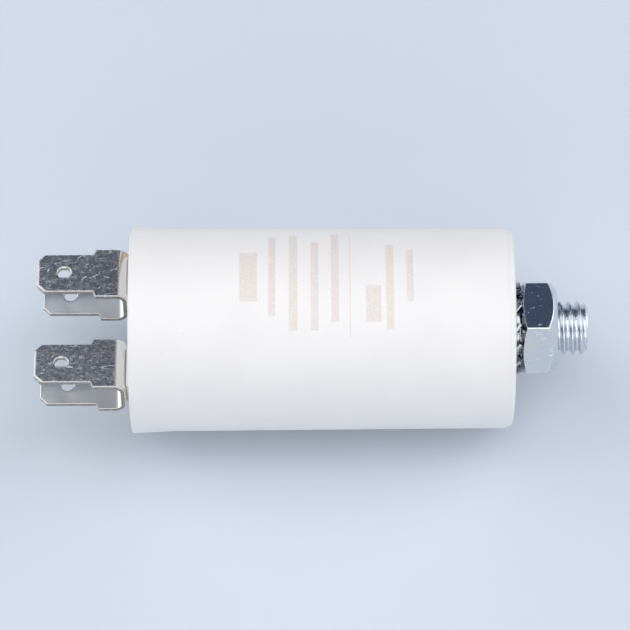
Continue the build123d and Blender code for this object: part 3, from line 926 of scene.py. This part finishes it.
# The same thread's radius at a station and angle, for the nut's bore
def threadRadius(station, angle, c):
    phase = ((station - c["shift"]) / c["pitch"] - angle / (2 * math.pi)) % 1
    hill = abs(phase * 2 - 1)
    height = min(1.0, max(0.0, (hill - c["rootShare"]) / (1 - c["rootShare"] - c["crestShare"])))
    height = height * (1 - c["soft"]) + height * height * (3 - 2 * height) * c["soft"]
    return c["root"] + (c["crest"] - c["root"]) * height


studMesh = grownMesh("stud_threaded", threadTree(thread, threadSizes), threadSizes, "zincThread")
studMesh.transform(Matrix.Translation(inFrame(0, 0, 0)))
head = {"flats": 11.0, "start": 50.6, "end": 53.0, "edge": 0.2}


# The stud's hexagon head, moulded into the can's floor
def headShape(c):
    corner = c["flats"] / math.sqrt(3)
    turns = [math.radians(60 * k) for k in range(6)]
    rings = [(c["start"], corner - c["edge"]), (c["start"] + c["edge"], corner), (c["end"], corner)]
    points = [(s, r * math.cos(a), r * math.sin(a)) for s, r in rings for a in turns]
    return points, ringFaces(3, 6) + [list(range(6)), list(range(12, 18))]


headPoints, headFaces = headShape(head)
joined = bmesh.new()
joined.from_mesh(studMesh)
headVerts = [joined.verts.new(inFrame(*p)) for p in headPoints]
for face in headFaces:
    joined.faces.new([headVerts[i] for i in face])
joined.to_mesh(studMesh)
joined.free()
finishPiece("stud_threaded", studMesh, "zincThread", "zinc_plate", ["stud"], sharp=36)

nut = {
    "flats": 13.0, "turn": math.radians(2), "cornerRound": 0.2, "edge": 0.09, "mouth": 4.25,
    "mouthEdge": 0.05,
    # the radius of each end's flat ring, and the slope of its chamfer
    "washerSide": (6.0, math.radians(25)), "studSide": (5.7, math.radians(38)),
    # a flat's columns, in degrees from its corner to its middle, and the bore's rows for each row of the stud
    "columns": [0, 0.5, 1.0, 1.5, 2.0, 2.6, 3.4, 4.6, 6.5, 9, 12, 16, 20, 25, 30], "boreShare": 0.75,
}


# How far the hexagon reaches at an angle, over its flats and rounded corners
def nutReach(c, angle):
    apothem = c["flats"] / 2
    off = ((angle - c["turn"] + math.pi / 6) % (math.pi / 3)) - math.pi / 6
    fromFlat = math.pi / 6 - abs(off)
    if apothem * math.tan(fromFlat) <= (apothem - c["cornerRound"]) * math.tan(math.pi / 6):
        return apothem / math.cos(fromFlat)
    middle = (apothem - c["cornerRound"]) / math.cos(math.pi / 6)
    return middle * math.cos(off) + math.sqrt(max(0.0, c["cornerRound"] ** 2 - (middle * math.sin(off)) ** 2))


# From the mouth of the bore over one end of the nut to its flat: distance from that end, and radius.
# Each edge is eased, with a ring just past it on both sides so that the faces between stay flat.
def nutEndLine(c, reach, faceRadius, chamfer):
    rise = (reach - faceRadius) * math.tan(chamfer)
    edge = min(c["edge"], (reach - faceRadius) / 3.4)
    down, out = math.sin(chamfer) * edge, math.cos(chamfer) * edge
    return [(0, c["mouth"] + c["mouthEdge"]), (0, faceRadius - 1.8 * edge), (0, faceRadius - edge),
            (0.3 * edge, faceRadius + 0.3 * edge), (1.7 * down, faceRadius + 1.7 * out),
            (rise - 1.6 * down, reach - 1.6 * out), (rise - 0.8 * down, reach - 0.8 * out),
            (rise + 0.15 * edge, reach - 0.12 * edge), (rise + 0.8 * edge, reach), (rise + 1.6 * edge, reach)]


# Each column runs from the bore over one end, the flat and the other end back to the bore
def nutShape(c, t):
    steps = c["columns"] + [60 - s for s in reversed(c["columns"][1:-1])]
    angles = [c["turn"] + math.radians(60 * k + s) for k in range(6) for s in steps]
    boreRows = int(round((nutEnd - nutFace) / t["pitch"] * t["perPitch"] * c["boreShare"]))
    points = []
    for a in angles:
        reach = nutReach(c, a)
        column = [(nutFace + x, r) for x, r in nutEndLine(c, reach, *c["washerSide"])]
        column += [(nutEnd - x, r) for x, r in reversed(nutEndLine(c, reach, *c["studSide"]))]
        for k in range(boreRows + 1):
            x = nutEnd - (nutEnd - nutFace) * k / boreRows
            mouth = c["mouth"] - min(x - nutFace, nutEnd - x)
            column.append((x, max(threadRadius(x, a, t) + t["nutGap"], mouth)))
        points += [(x, r * math.cos(a), r * math.sin(a)) for x, r in column]
    return points, ringFaces(len(angles), len(points) // len(angles), closed=True)


newPiece("nut_hexagon", *nutShape(nut, thread), "zinc_plate", "zinc_plate", ["hex_nut"], sharp=24)

# Nodes that keep their own shape
nodeSlots = {s["node"]: s["material_slot"] for s in frame["record"]["subparts"]}
for name, node in frame["nodes"].items():
    if node.hide_render:
        continue
    node.data.materials.clear()
    node.data.materials.append(materials[nodeSlots[name]])
print("nodes dressed")

# Stage: distances in metres
stage = {
    "floor": (0.66, 0.71, 0.78), "floorReach": 6.0, "evenFrom": (0.08, 0.3), "sky": (0.70, 0.75, 0.82),
    "room": (0.055, 0.078, 0.13), "skyTop": (0.02, 0.16),
}
floorMesh = bpy.data.meshes.new("floor")
span = stage["floorReach"]
floorMesh.from_pydata([(x, y, 0) for x, y in ((-span, -span), (span, -span), (span, span), (-span, span))],
                      [], [(0, 1, 2, 3)])
floor = bpy.data.objects.new("floor", floorMesh)
bpy.context.scene.collection.objects.link(floor)
floorMaterial, floorTree, floorShader = newMaterial(
    "floorPaper", Base_Color=stage["floor"], Roughness=0.9, Specular_IOR_Level=0.1)
# metal sees the far floor as evenly lit as the part of it in view
away = floorTree.add("ShaderNodeVectorMath", {"operation": "LENGTH"}, {0: floorTree.placeOn()}, "Value")
mirrored = floorTree.add("ShaderNodeLightPath", out="Is Glossy Ray") * (away / mm).ease(*stage["evenFrom"])
paper = floorTree.add("ShaderNodeEmission", None, {"Color": (*stage["floor"], 1), "Strength": 1.0})
mixed = floorTree.add("ShaderNodeMixShader", None, {
    0: mirrored, 1: Wire(floorTree, floorShader.outputs[0]), 2: paper})
floorOutput = floorTree.nodeTree.get_output_node("ALL")
floorTree.nodeTree.links.new(mixed.socket, floorOutput.inputs["Surface"])
floorMesh.materials.append(floorMaterial)

world = bpy.data.worlds.new("room")
bpy.context.scene.world = world
world.use_nodes = True
world.node_tree.nodes.clear()
sky = Tree(world.node_tree)
# the room is dark, but pale where metal mirrors it near the horizon and where the camera sees it
height = sky.split(sky.add("ShaderNodeTexCoord", out="Generated"))[2]
pale = sky.add("ShaderNodeLightPath", out="Is Glossy Ray") * (1 - height.ease(*stage["skyTop"]))
pale = pale.maths("MAXIMUM", sky.add("ShaderNodeLightPath", out="Is Camera Ray"))
colour = sky.blend(pale, stage["room"], stage["sky"])
background = sky.add("ShaderNodeBackground", None, {"Color": colour, "Strength": 1.0})
sky.add("ShaderNodeOutputWorld", None, {"Surface": background})

# Lamps: place, width, height in metres, power in watts; all face the part
lamps = {
    "leftBox": ((-0.75, 0.20, 0.47), 0.85, 1.9, 7.9),
    "rightBox": ((0.75, 0.20, 0.47), 0.85, 1.9, 7.9),
    "frontBox": ((0, -0.95, 0.42), 1.6, 0.6, 4.5),
    "topBox": ((0, -0.31, 0.88), 0.6, 0.9, 2.8),
}
aim = Vector((0, 0, 0.015))
for name, (place, width, height, power) in lamps.items():
    lamp = bpy.data.lights.new(name, "AREA")
    lamp.shape, lamp.size, lamp.size_y, lamp.energy = "RECTANGLE", width, height, power
    holder = bpy.data.objects.new(name, lamp)
    holder.location = place
    holder.rotation_euler = (aim - Vector(place)).to_track_quat("-Z", "Y").to_euler()
    bpy.context.scene.collection.objects.link(holder)

# Camera: distances in metres, lens and sensor in millimetres
shot = {
    "distance": 0.560, "elevation": math.radians(58), "roll": math.radians(0.28), "lens": 220.8,
    "sensor": 36.0, "aimX": 0.0005, "aimUp": 0.00204, "nearest": 0.01, "farthest": 50.0,
}
back = Vector((0, -math.cos(shot["elevation"]), math.sin(shot["elevation"])))
up = Vector((0, math.sin(shot["elevation"]), math.cos(shot["elevation"])))
right = Vector((1, 0, 0))
leanRight = right * math.cos(shot["roll"]) - up * math.sin(shot["roll"])
leanUp = up * math.cos(shot["roll"]) + right * math.sin(shot["roll"])
camera = bpy.data.objects.new("camera", bpy.data.cameras.new("camera"))
camera.data.lens, camera.data.sensor_width = shot["lens"], shot["sensor"]
camera.data.clip_start, camera.data.clip_end = shot["nearest"], shot["farthest"]
turning = Matrix((leanRight, leanUp, back)).transposed().to_4x4()
spot = Vector((shot["aimX"], 0, axisZ / mm)) + up * shot["aimUp"] + back * shot["distance"]
camera.matrix_world = Matrix.Translation(spot) @ turning
bpy.context.scene.collection.objects.link(camera)
bpy.context.scene.camera = camera
bpy.context.scene.view_settings.view_transform = "Standard"
print("stage, lamps and camera made")
